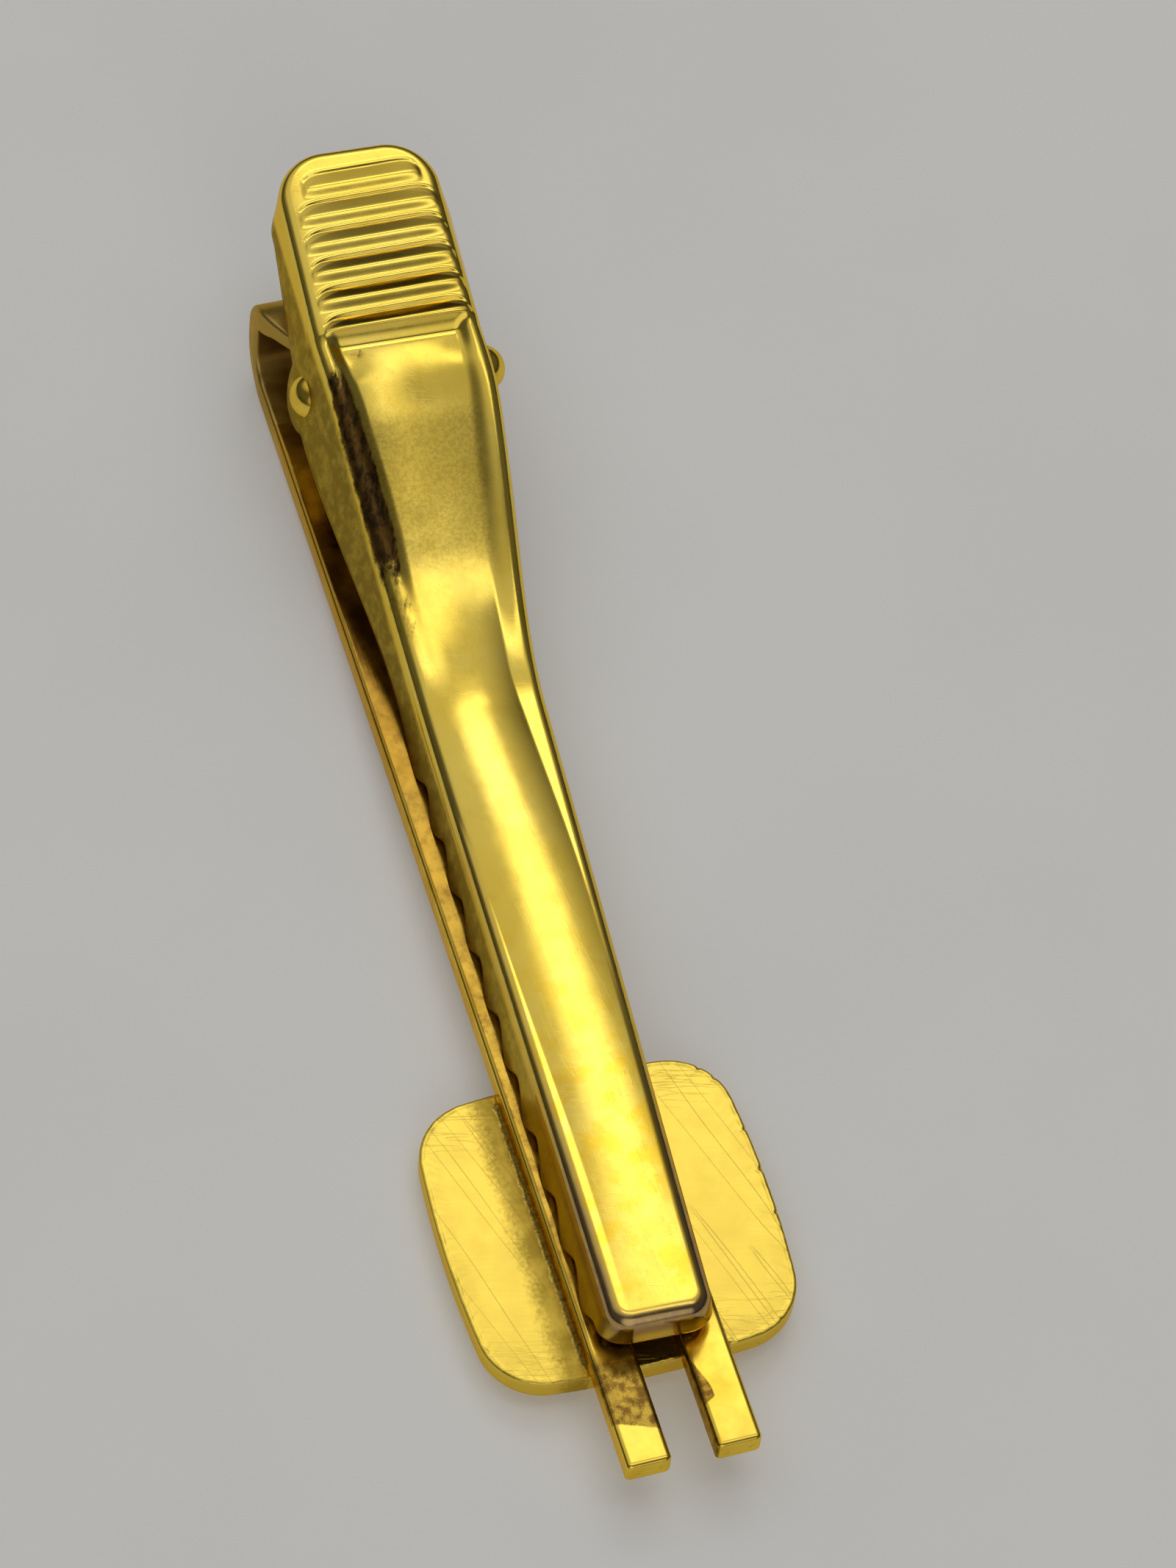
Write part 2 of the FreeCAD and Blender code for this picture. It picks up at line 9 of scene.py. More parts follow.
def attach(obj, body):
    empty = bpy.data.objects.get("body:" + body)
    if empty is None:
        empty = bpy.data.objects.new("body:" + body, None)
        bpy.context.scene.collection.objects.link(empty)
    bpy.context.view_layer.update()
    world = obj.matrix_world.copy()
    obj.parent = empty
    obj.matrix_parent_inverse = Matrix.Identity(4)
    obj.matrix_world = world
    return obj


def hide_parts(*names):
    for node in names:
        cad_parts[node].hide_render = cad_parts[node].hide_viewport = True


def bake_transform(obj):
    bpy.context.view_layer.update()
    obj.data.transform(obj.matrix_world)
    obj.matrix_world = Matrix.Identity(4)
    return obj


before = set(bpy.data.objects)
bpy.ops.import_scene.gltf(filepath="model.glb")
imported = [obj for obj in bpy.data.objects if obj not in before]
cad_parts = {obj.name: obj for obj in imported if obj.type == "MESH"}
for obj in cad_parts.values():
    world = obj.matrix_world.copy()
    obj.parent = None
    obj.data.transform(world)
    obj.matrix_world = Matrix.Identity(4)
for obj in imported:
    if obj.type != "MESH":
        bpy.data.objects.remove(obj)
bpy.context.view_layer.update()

# Shapes are drawn in mm, with x along the lever from the bend, y along the hinge pin and z up.
MM = 0.001
LEVER_SHIFT = np.array([-43.856996, 0.320602, 0.0])
FORK_TURN = math.radians(2.5)
FORK_CROSS_X = 51.2
PLATE_MIDDLE_X = 43.85

# Lever
RAIL_TOP = 2.4
PAD_END = -2.55
PAD_END_R = 2.2
PAD_EDGE_R = 0.5
PAD_LEAN = -0.25
PAD_H = 7.97
PAD_SLOPE = 0.137
PAD_CROWN = 0.09
PAD_WALL = 2.3
PAD_HALF_W = 3.5
PAD_NARROWING = 0.1
CREASE = 6.15
RISER = 0.50
RISER_GROOVE = 0.03
SHOULDER_X = 4.5
SHOULDER_H = 8.05
NECK_NARROWING = 0.9
NECK_CROWN = 0.34
JAW_X = 22
JAW_H = 2.25
JAW_NARROWING = 0.5
TIP_CROWN = 0.03
NECK_EDGE_R = 0.5
TIP = 50.3
TIP_CORNER_R = 1.0
TIP_EDGE_R = 0.6
SHEET = 0.5
LEFT_FLARE = 0.27
RIGHT_FLARE = 0.15
TROUGH = 0.55
TROUGH_DISH = 0.04
TROUGH_X = (6.3, 8.0, 10.0, 12.0, 14.0, 16.0, 18.0, 20.0, 22.0)
TROUGH_HALF_W = (2.68, 2.55, 2.3, 2.05, 1.86, 1.8, 1.74, 1.65, 1.6)
PIN_X = 6.7
PIN_Z = 7.3
LUG_R = 1.65
LUG_FRONT = math.radians(55)
RIBS = [-0.74 + 1.35 * i for i in range(6)]
RIB_HALF_LENGTHS = (2.5, 2.95, 3.0, 3.05, 3.1, 3.1)
RIB_MIDDLE = -0.12
RIB_SKEW = 0.021
RIB_GROOVE = 0.74
RIB_DROP = 1.5
RIB_RISE = 0.15
RIB_ROUND = 0.05
RIB_FALL = 0.50
RIB_LIP = 0.018
FOOT_X = 21.2
FOOT_Z = 2.7
TOOTH_PITCH = 2.8
TOOTH_CLIMB = 1.1
TOOTH_LOW = 2.5
TOOTH_HIGH = 3.1
TEETH = [22.9 + TOOTH_PITCH * i for i in range(10)]
COLUMNS = 96
TOP_TURN = math.radians(35)
EDGE_RINGS = 5
WALL_RINGS = 12


def smooth(x, a, b):
    s = np.clip((x - a) / (b - a), 0, 1)
    return s * s * (3 - 2 * s)


def softest(a, b, soft):
    """The lesser of two surfaces, with the corner between them rounded."""
    h = np.clip(0.5 + 0.5 * (b - a) / soft, 0, 1)
    return b * (1 - h) + a * h - soft * h * (1 - h)


def shoulder_z(x):
    return RAIL_TOP + SHOULDER_H - (SHOULDER_H - JAW_H) * smooth(x, SHOULDER_X, JAW_X)


def pad_z(x):
    return RAIL_TOP + PAD_H + (CREASE - x) * PAD_SLOPE


def half_width(x):
    pad = PAD_HALF_W - (CREASE - x) * PAD_NARROWING / (CREASE - PAD_END)
    along_jaw = np.maximum(0, x - JAW_X) / (TIP - JAW_X)
    body = PAD_HALF_W - NECK_NARROWING * smooth(x, 7, JAW_X) - JAW_NARROWING * along_jaw
    return np.where(x < CREASE, pad, body)


def middle_y(x):
    """The pad's top leans a little to the left of the jaw."""
    return PAD_LEAN * (1 - smooth(x, 5.5, 9.5))


def edge_radius(x):
    pad_to_neck = (NECK_EDGE_R - PAD_EDGE_R) * smooth(x, CREASE - 0.6, CREASE + 1.2)
    return PAD_EDGE_R + pad_to_neck + (TIP_EDGE_R - NECK_EDGE_R) * smooth(x, 30, 48)


def plan_depth(x, y, half, inset):
    """Distance in from the outline seen from above, which has a rounded thumb end and tip."""
    corner = np.where(x < 20, PAD_END_R, TIP_CORNER_R)
    along = np.where(x < 20, PAD_END + corner - x, x - TIP + corner)
    across = np.abs(y - middle_y(x)) - (half - corner)
    outside = np.hypot(np.maximum(along, 0), np.maximum(across, 0))
    return corner - inset - outside - np.minimum(np.maximum(along, across), 0)


def rib_relief(x, y):
    """Height of the pressed ribs, and how much painted shade lies in their grooves.

    Each rib has a steep drop with a lip and rounded ends, then a ramp up to a straight crest.
    """
    height = np.zeros_like(x)
    groove_shade = np.zeros_like(x)
    for i, (crest, length) in enumerate(zip(RIBS, RIB_HALF_LENGTHS)):
        t = np.clip(np.abs(y - RIB_MIDDLE) / length, 0, 1)
        groove = RIB_GROOVE * np.sqrt(1 - t ** 8) + 1e-4
        narrowing = (1 - t ** 3) ** 0.75
        deep = (0.06 + 0.02 * i) * narrowing
        valley = np.maximum(groove - deep / RIB_DROP - 0.02, 0.05)
        rise = RIB_RISE * (0.78 + 0.045 * i) * np.sqrt(1 - t ** 10)
        s = crest - RIB_SKEW * y - x
        away = np.hypot(s, RIB_ROUND) - RIB_ROUND
        ramp = (rise + deep) * away / valley - rise
        drop = deep * (groove - s) / np.maximum(groove - valley, 0.02)
        pocket = -softest(ramp, drop, 0.02)
        land = rise * (1 - smooth(-s, 0, RIB_FALL))
        inside = np.where(s > 0, pocket, land)
        lip = RIB_LIP * np.exp(-((s - groove - 0.05) / 0.06) ** 2) * (1 - smooth(t, 0.97, 1.0))
        height = height + np.where(s > groove, 0, inside) + lip
        far = valley * narrowing
        # Painted shade in the groove of each rib, darker on the ribs nearer the crease
        lens = smooth(s, 0.04, 0.14) * (1 - smooth(s, far - 0.06, far + 0.02))
        groove_shade = groove_shade + lens * min(0.05 + 0.22 * i, 1.0)
    return height, groove_shade


def top_z(x, y, half, ribbed):
    """Top of the lever: ribbed pad, riser, dished hollow over the pivot, and crowned jaw."""
    flat = half - edge_radius(x)
    pad = pad_z(x) + PAD_CROWN * (1 - ((y - middle_y(x)) / half) ** 6)
    if ribbed:
        pad = pad + rib_relief(x, y)[0]
    floor_edge = np.interp(x, TROUGH_X, TROUGH_HALF_W)
    to_jaw = smooth(x, 10.15, 21)
    rim = smooth(np.abs(y - middle_y(x)), floor_edge - 0.25, half - 0.45)
    crest_y = 0.25 * smooth(x, 30, 44) - 0.7 * (1 - smooth(x, 18, 32))
    to_tip = np.clip((x - JAW_X) / (TIP - JAW_X), 0, 1)
    crown = NECK_CROWN - (NECK_CROWN - TIP_CROWN) * to_tip
    crown = crown * (1 - np.clip((y - crest_y) / flat, -1, 1) ** 2)
    dish = TROUGH_DISH * y ** 2 * smooth(x, 6.7, 8.2) * (1 - to_jaw) * (1 - rim)
    hollow = TROUGH * (0.62 + 0.38 * smooth(x, 6.5, 9.5)) * (1 - to_jaw)
    neck = shoulder_z(x) - hollow * (1 - rim) + dish + crown * to_jaw
    neck = neck - RISER_GROOVE * np.exp(-((x - CREASE - 0.36) / 0.12) ** 2) * (1 - rim)
    step = 1 - (1 - np.clip((x - CREASE + 0.06) / RISER, 0, 1)) ** 2
    return pad * (1 - step) + neck * step


def lower_z(x):
    """Lower edge of the walls: pad, round lug, long slope and wavy teeth."""
    z = np.where(x <= 0, pad_z(x) - PAD_WALL, 0.0)
    start = pad_z(0) - PAD_WALL
    z = np.where((x > 0) & (x < PIN_X - LUG_R), start + (PIN_Z - start) * x / (PIN_X - LUG_R), z)
    lug = PIN_Z - np.sqrt(np.maximum(0, LUG_R ** 2 - (x - PIN_X) ** 2))
    front_x = PIN_X + LUG_R * math.cos(LUG_FRONT)
    front_z = PIN_Z - LUG_R * math.sin(LUG_FRONT)
    z = np.where((x >= PIN_X - LUG_R) & (x < front_x), lug, z)
    slope = front_z + (FOOT_Z - front_z) * (x - front_x) / (FOOT_X - front_x)
    z = np.where((x >= front_x) & (x < FOOT_X), slope, z)
    lead_in = FOOT_Z - (FOOT_Z - TOOTH_LOW) * smooth(x, FOOT_X, TEETH[0])
    z = np.where((x >= FOOT_X) & (x < TEETH[0]), lead_in, z)
    depth = TOOTH_HIGH - TOOTH_LOW
    for crest in TEETH:
        notch = crest + TOOTH_CLIMB
        climb = TOOTH_LOW + depth * smooth(x, crest, notch)
        fall = TOOTH_HIGH - depth * smooth(x, notch, crest + TOOTH_PITCH)
        z = np.where((x >= crest) & (x < notch), climb, z)
        z = np.where((x >= notch) & (x < crest + TOOTH_PITCH), fall, z)
    return np.where(x >= TEETH[-1] + TOOTH_CLIMB, TOOTH_HIGH, z)


def lever_rows():
    """Rows along the lever: place of the row, which end it rounds, and the turn round that end."""
    pad_middle = PAD_END + PAD_END_R
    tip_middle = TIP - TIP_CORNER_R
    rows = [(pad_middle, -1, a) for a in np.linspace(0, math.pi / 2, 60)]
    stations = np.concatenate([
        np.arange(pad_middle, CREASE - 0.1, 0.022)[1:],
        np.arange(CREASE - 0.1, CREASE + 0.8, 0.025),
        np.arange(CREASE + 0.8, 21, 0.1),
        np.arange(21, tip_middle - 0.05, 0.1),
    ])
    rows += [(x, 0, math.pi / 2) for x in stations]
    rows += [(tip_middle, 1, a) for a in np.linspace(math.pi / 2, 0, 18)]
    return rows


def lever_layer(inset, ribbed):
    """Top grid and the rings below it, for the outside (inset 0) or the inside of the sheet."""
    rows = lever_rows()
    middle = np.array([row[0] for row in rows])
    end = np.array([row[1] for row in rows])
    turn = np.array([row[2] for row in rows])
    half = half_width(middle)
    radius = np.maximum(edge_radius(middle) - inset, 0.12)
    border = radius * (1 - math.sin(TOP_TURN))
    corner = np.where(end < 0, PAD_END_R, TIP_CORNER_R) - inset
    x_in = middle + end * (corner - border) * np.cos(turn)
    w_in = half - inset - border - (corner - border) * (1 - np.sin(turn))
    x_out = middle + end * corner * np.cos(turn)
    w_out = half - inset - corner * (1 - np.sin(turn))

    share = np.linspace(-1, 1, COLUMNS + 1)
    x = np.repeat(x_in[:, None], COLUMNS + 1, 1)
    y = middle_y(x) + w_in[:, None] * share[None, :]
    into_edge = np.maximum(0, radius[:, None] - plan_depth(x, y, half[:, None], inset))
    roll = radius[:, None] - np.sqrt(np.maximum(radius[:, None] ** 2 - into_edge ** 2, 0))
    z = top_z(x, y, half[:, None], ribbed) - roll - inset
    top = np.stack([x, y, z], -1)

    last = len(rows) - 1
    loop = [(0, j) for j in range(COLUMNS + 1)] + [(i, COLUMNS) for i in range(1, last + 1)]
    loop += [(last, j) for j in range(COLUMNS - 1, -1, -1)] + [(i, 0) for i in range(last - 1, 0, -1)]
    ri = np.array([p[0] for p in loop])
    cj = np.array([p[1] for p in loop])
    a = top[ri, cj]
    at_end = (ri == 0) | (ri == last)
    side = np.where(at_end, 0, np.sign(share[cj]))
    by = middle_y(x_out[ri]) + np.where(at_end, w_out[ri] * share[cj], side * w_out[ri])
    b = np.stack([x_out[ri], by], -1)
    r = radius[ri]
    rings = []
    for k in range(1, EDGE_RINGS + 1):
        t = TOP_TURN + (math.pi / 2 - TOP_TURN) * k / EDGE_RINGS
        out = (math.sin(t) - math.sin(TOP_TURN)) / (1 - math.sin(TOP_TURN))
        xy = a[:, :2] + (b - a[:, :2]) * out
        rings.append(np.column_stack([xy, a[:, 2] - r * (math.cos(TOP_TURN) - math.cos(t))]))
    knee = a[:, 2] - r * math.cos(TOP_TURN)
    low = lower_z(x_out[ri])
    flare = side * np.sin(turn[ri]) * np.where(side < 0, LEFT_FLARE, RIGHT_FLARE)
    lean = middle_y(x_out[ri])
    for k in range(1, WALL_RINGS + 1):
        fall = (knee - low) * k / WALL_RINGS
        wall_y = b[:, 1] + flare * fall - lean * k / WALL_RINGS
        rings.append(np.column_stack([b[:, 0], wall_y, knee - fall]))
    return top, rings, ri * (COLUMNS + 1) + cj


def mesh_object(name, points, faces):
    """A smooth mesh from points in mm."""
    mesh = bpy.data.meshes.new(name)
    mesh.from_pydata((np.asarray(points) * MM).tolist(), [], faces)
    mesh.validate()
    shape = bmesh.new()
    shape.from_mesh(mesh)
    bmesh.ops.recalc_face_normals(shape, faces=shape.faces)
    shape.to_mesh(mesh)
    shape.free()
    mesh.shade_smooth()
    obj = bpy.data.objects.new(name, mesh)
    bpy.context.scene.collection.objects.link(obj)
    return obj


def grid_faces(rows, columns, first=0):
    faces = []
    for i in range(rows - 1):
        for j in range(columns - 1):
            a = first + i * columns + j
            faces.append((a, a + columns, a + columns + 1, a + 1))
    return faces


def band_faces(one, two):
    """Quads between two closed loops of vertex numbers."""
    count = len(one)
    following = [(k + 1) % count for k in range(count)]
    return [(int(one[k]), int(one[m]), int(two[m]), int(two[k])) for k, m in enumerate(following)]


def stacked_faces(rings, first=0, capped=True):
    """Quads between loops of equal length laid one after another, with both ends closed."""
    count = len(rings[0])
    faces = []
    for k in range(len(rings) - 1):
        low = np.arange(count) + first + k * count
        faces += band_faces(low, low + count)
    if capped:
        last = first + (len(rings) - 1) * count
        faces.append(tuple(range(first + count - 1, first - 1, -1)))
        faces.append(tuple(range(last, last + count)))
    return faces


def paint(obj, name, values):
    layer = obj.data.attributes.new(name, "FLOAT", "POINT")
    layer.data.foreach_set("value", np.asarray(values, dtype=np.float32))


def make_lever():
    """The pressed sheet, with paint layers for its stains, its wear, and painted shade and dark
    reflections.
    """
    points, faces, bottoms = [], [], []
    total = 0
    for inset, ribbed in ((0.0, True), (SHEET, False)):
        top, rings, index = lever_layer(inset, ribbed)
        rows, columns = top.shape[:2]
        points.append(top.reshape(-1, 3))
        faces += grid_faces(rows, columns, total)
        loop = index + total
        total += rows * columns
        for ring in rings:
            following = np.arange(len(ring)) + total
            points.append(ring)
            faces += band_faces(loop, following)
            loop = following
            total += len(ring)
        bottoms.append(loop)
    faces += band_faces(bottoms[0], bottoms[1])
    points = np.concatenate(points)
    obj = mesh_object("lever_shell", points + LEVER_SHIFT, faces)
    x, y, z = points.T
    half = half_width(x)
    floor_edge = np.interp(x, TROUGH_X, TROUGH_HALF_W)
    left = smooth(-y, floor_edge - 0.1, floor_edge + 0.35) * (1 - smooth(-y, half - 0.1, half + 0.1))
    stretch = smooth(x, 6.3, 8.8) * (1 - 0.6 * smooth(x, 14.5, 16.5)) * (1 - smooth(x, 17, 22))
    corner = np.exp(-(((x - 6.95) / 0.3) ** 2 + ((y + 2.0) / 0.45) ** 2))
    paint(obj, "tarnish", np.clip(left * stretch + 0.55 * corner, 0, 1) * (z > RAIL_TOP + 3))
    satin = smooth(x, 8.8, 10.2) * (1 - smooth(x, 14.5, 16.5))
    paint(obj, "satin", satin * (1 - smooth(np.abs(y), floor_edge, floor_edge + 0.3)))
    depth = shoulder_z(np.maximum(x, CREASE)) - z
    # Edges along the jaw, strongest at the tip: worn plating, with a painted dark reflection on the upper
    # rounded edge of the nose
    edge = (1 - smooth(plan_depth(x, y, half, 0.0), 0.25, 0.6)) * (1 - 0.8 * smooth(depth, 0.7, 1.2))
    paint(obj, "worn_and_dark_reflection", edge * (0.25 + 0.75 * smooth(x, 36, 48)) * smooth(x, 20, 30))
    # Painted dark reflection on the left wall below the top, weaker towards the tip
    below = smooth(depth, 0.45, 0.8) * smooth(-y, 0.5, 1.5)
    paint(obj, "dull_wall_dark_reflection", below * (1 - 0.5 * smooth(x, 30, 44)))
    # Painted shade in the rib grooves on the pad
    on_pad = (z > RAIL_TOP + PAD_H - 0.5) * (x < CREASE + 0.1)
    paint(obj, "groove_shade", np.clip(rib_relief(x, y)[1], 0, 1) * on_pad)
    return obj


def on_fork(points):
    """From mm along the fork, with the middle of the plate as origin, to the clip's frame."""
    c, s = math.cos(FORK_TURN), math.sin(FORK_TURN)
    p = np.asarray(points, float)
    return np.column_stack([p[:, 0] * c - p[:, 1] * s, p[:, 0] * s + p[:, 1] * c, p[:, 2]])


# Fork: two rails, a bend at the hinge end, and a return leg with two ears for the pin
STOCK_HALF_T = 0.55
RAIL_Z = 1.85
RAIL_HALF_W = 0.9
RAIL_Y = 1.8
FORK_HALF_W = 2.7
FORK_END = 55.0
SLOT_END = 4.2
BEND_R = 1.75
BEND_X = 2.3
BEND_TOP_Z = 6.25
LEG_SLOPE = 0.235
LEG_END = 9.7
LEG_HALF_W = 2.83
LEG_NARROWING = 0.43
LEG_POINT = 20
STOCK_EDGE_R = 0.2
EAR_R = 1.1
EAR_HOLE_R = 0.47
EAR_Y = 2.5
EAR_HALF_T = 0.33
EAR_EDGE = 0.08
HIDDEN = 0.04


def section_ring(half_w, half_t, r):
    """Rectangle with rounded corners, with extra points that keep its sides flat."""
    guard = 0.05
    ring = []
    for sx, sy, start in ((1, 1, 0), (-1, 1, 90), (-1, -1, 180), (1, -1, 270)):
        cx, cy = sx * (half_w - r), sy * (half_t - r)
        turns = [math.radians(start + t) for t in (0, 18, 36, 54, 72, 90)]
        arc = [(cx + r * math.cos(t), cy + r * math.sin(t)) for t in turns]
        lead_in = (arc[0][0] + guard * math.sin(turns[0]), arc[0][1] - guard * math.cos(turns[0]))
        lead_out = (arc[-1][0] - guard * math.sin(turns[-1]), arc[-1][1] + guard * math.cos(turns[-1]))
        ring += [lead_in] + arc + [lead_out]
    return np.array(ring)


def make_rail(side):
    """Rail with rounded edges and end, whose start is hidden in the bend strip."""
    steps = [(SLOT_END - 0.4, HIDDEN), (SLOT_END, 0.0)]
    steps += [(x, 0.0) for x in np.linspace(SLOT_END, FORK_END - STOCK_EDGE_R - 0.05, 30)[1:]]
    for t in np.linspace(0, math.pi / 2, 6):
        steps.append((FORK_END - STOCK_EDGE_R * (1 - math.sin(t)), STOCK_EDGE_R * (1 - math.cos(t))))
    steps += [(FORK_END, STOCK_EDGE_R + 0.05), (FORK_END, STOCK_HALF_T - 0.05)]
    rings = []
    for x, inset in steps:
        r = max(STOCK_EDGE_R - inset * 0.5, 0.04)
        if inset > STOCK_EDGE_R + 0.1:
            r = 0.02
        ring = section_ring(RAIL_HALF_W - inset, STOCK_HALF_T - inset, r)
        y = side * RAIL_Y + ring[:, 0]
        rings.append(np.column_stack([np.full(len(ring), x - PLATE_MIDDLE_X), y, RAIL_Z + ring[:, 1]]))
    return [on_fork(ring) for ring in rings]


def strip_path():
    """Middle line of the bend strip in side view, with its half width: rails, bend, return leg."""
    path = [(SLOT_END + 0.25, RAIL_Z, HIDDEN), (SLOT_END, RAIL_Z, 0.0), (3.2, RAIL_Z, 0.0)]
    for t in np.linspace(0, math.pi / 2, 12):
        path.append((BEND_X - BEND_R * math.sin(t), RAIL_Z + BEND_R * (1 - math.cos(t)), 0.0))
    for t in np.linspace(math.pi / 2, 0, 12):
        path.append((BEND_X - BEND_R * math.sin(t), BEND_TOP_Z - BEND_R * (1 - math.cos(t)), 0.0))
    for x in np.linspace(2.7, LEG_END - 0.2, 26):
        ease = 0.4 * math.exp(-(x - BEND_X) / 0.8)
        path.append((x, BEND_TOP_Z - (x - BEND_X) * LEG_SLOPE * (1 - ease), 0.0))
    path.append((LEG_END, BEND_TOP_Z - (LEG_END - BEND_X) * LEG_SLOPE, 0.15))
    return np.array(path)


def make_strip():
    """The strip from the rails round the bend to the end of the return leg."""
    path = strip_path()
    ahead = np.gradient(path[:, :2], axis=0)
    ahead /= np.linalg.norm(ahead, axis=1)[:, None]
    upper = np.arange(len(path)) > LEG_POINT
    rings = []
    for (x, z, inset), (ax, az), on_leg in zip(path, ahead, upper):
        on_lever = smooth(x, BEND_X - 0.9, 4.8) if on_leg else 0.0
        turn = FORK_TURN * (1 - on_lever)
        strip_y = (x - FORK_CROSS_X) * math.tan(FORK_TURN) * (1 - on_lever)
        leg_half_w = LEG_HALF_W - LEG_NARROWING * smooth(x, PIN_X + EAR_R, LEG_END)
        half_w = FORK_HALF_W + (leg_half_w - FORK_HALF_W) * on_lever - inset
        ring = section_ring(half_w, STOCK_HALF_T - inset, STOCK_EDGE_R)
        px = x - az * ring[:, 1] - ring[:, 0] * math.sin(turn)
        py = strip_y + ring[:, 0] * math.cos(turn)
        rings.append(np.column_stack([px, py, z + ax * ring[:, 1]]) + LEVER_SHIFT)
    return rings


def make_ear(side):
    """Round tab with a hole, its foot sunk in the return leg."""
    turns = np.linspace(0, 2 * math.pi, 64, endpoint=False)
    foot = PIN_Z - (BEND_TOP_Z - (PIN_X - BEND_X) * LEG_SLOPE)
    reach = np.full(len(turns), EAR_R)
    below = np.sin(turns) < 0
    to_side = EAR_R / np.maximum(np.abs(np.cos(turns)), 1e-6)
    to_foot = foot / np.maximum(np.abs(np.sin(turns)), 1e-6)
    reach[below] = np.minimum(to_side, to_foot)[below]
    hole = np.full(len(turns), EAR_HOLE_R)
    section = [(hole, -EAR_HALF_T), (hole + 0.04, -EAR_HALF_T)]
    section += [(reach - EAR_EDGE, -EAR_HALF_T), (reach, EAR_EDGE - EAR_HALF_T)]
    section += [(reach, EAR_HALF_T - EAR_EDGE), (reach - EAR_EDGE, EAR_HALF_T)]
    section += [(hole + 0.04, EAR_HALF_T), (hole, EAR_HALF_T)]
    rings = []
    for radius, y in section:
        px = PIN_X + radius * np.cos(turns)
        pz = PIN_Z + radius * np.sin(turns)
        rings.append(np.column_stack([px, np.full(len(turns), side * EAR_Y + y), pz]) + LEVER_SHIFT)
    return rings


def make_fork():
    """Rails and strip have closed ends; each ear is a ring, whose last loop meets its first."""
    points, faces = [], []
    total = 0
    parts = [(make_rail(-1), True), (make_rail(1), True), (make_strip(), True)]
    parts += [(make_ear(-1), False), (make_ear(1), False)]
    for rings, capped in parts:
        faces += stacked_faces(rings, total, capped)
        count = len(rings[0])
        if not capped:
            first = np.arange(count) + total
            faces += band_faces(first + (len(rings) - 1) * count, first)
        points += rings
        total += count * len(rings)
    return mesh_object("fork", np.concatenate(points), faces)


# Plate: four bowed sides and rounded corners, with its middle as origin
PLATE_HALF = 6.599
PLATE_BULGE = 0.45
PLATE_CORNER_R = 2.6
PLATE_T = 1.3
PLATE_RIM_DROP = 0.012
PLATE_CHAMFER = 0.08
PLATE_FRONT_R = 0.5


def plate_outline():
    """Points of the outline in order, with the direction out of the plate at each."""
    corner = PLATE_HALF - PLATE_BULGE
    bow = (corner ** 2 + PLATE_BULGE ** 2) / (2 * PLATE_BULGE)
    back = bow - PLATE_HALF
    reach = bow - PLATE_CORNER_R
    a = (-back + math.sqrt(2 * reach ** 2 - back ** 2)) / 2
    lean = math.atan2(a, back + a)
    points, normals = [], []
    for k in range(4):
        facing = math.pi / 2 * k
        for turn in np.linspace(facing - lean, facing + lean, 200, endpoint=False):
            n = np.array([math.cos(turn), math.sin(turn)])
            points.append(-back * np.array([math.cos(facing), math.sin(facing)]) + bow * n)
            normals.append(n)
        middle = facing + math.pi / 4
        centre = a * math.sqrt(2) * np.array([math.cos(middle), math.sin(middle)])
        for turn in np.linspace(facing + lean, facing + math.pi / 2 - lean, 80, endpoint=False):
            n = np.array([math.cos(turn), math.sin(turn)])
            points.append(centre + PLATE_CORNER_R * n)
            normals.append(n)
    return np.array(points), np.array(normals)


def ragged(points, scale, seed):
    """Noise from -1 to 1 at each point, in waves about 1 / scale mm long."""
    return np.array([noise.noise(Vector((p[0] * scale, p[1] * scale, seed))) for p in points])


def make_plate():
    """Plate with a flat back, a chipped rim and a rounded front edge."""
    edge, normal = plate_outline()
    rough = ragged(edge, 2.2, 3.0)
    fine = ragged(edge, 4.0, 9.0)
    chips = np.clip(rough - 0.25, 0, 1) * 0.5 * smooth(edge[:, 1], -1.0, 3.0)
    chamfer = PLATE_CHAMFER + 0.015 * rough + 0.012 * fine + chips
    rim_z = PLATE_T - PLATE_RIM_DROP
    rings = []
    for share in np.linspace(0.04, 0.90, 26):
        rings.append(np.column_stack([edge * share, np.full(len(edge), PLATE_T)]))
    for inset, lift in ((0.22, -0.006), (0.14, -0.006), (0.07, 0.008), (0.02, 0.004)):
        ring = edge - normal * (inset + chamfer)[:, None]
        rings.append(np.column_stack([ring, rim_z + lift * (1 + fine)]))
    for share, fall in ((0.62, 0.10), (0.30, 0.40), (0.0, 1.0)):
        ring = edge - normal * (chamfer * share)[:, None]
        rings.append(np.column_stack([ring, rim_z - chamfer * fall]))
    for z in (0.95, 0.85, 0.7, 0.6):
        rings.append(np.column_stack([edge, np.full(len(edge), z)]))
    for turn in np.linspace(0, math.pi / 2, 8):
        ring = edge - normal * PLATE_FRONT_R * (1 - math.cos(turn))
        rings.append(np.column_stack([ring, np.full(len(edge), PLATE_FRONT_R * (1 - math.sin(turn)))]))
    for share in np.linspace(0.88, 0.04, 8):
        rings.append(np.column_stack([edge * share, np.zeros(len(edge))]))
    return mesh_object("plate", on_fork(np.concatenate(rings)), stacked_faces(rings))


SOLDER_HALF_L = 6.15
SOLDER_H = 0.30
SOLDER_W = 0.34


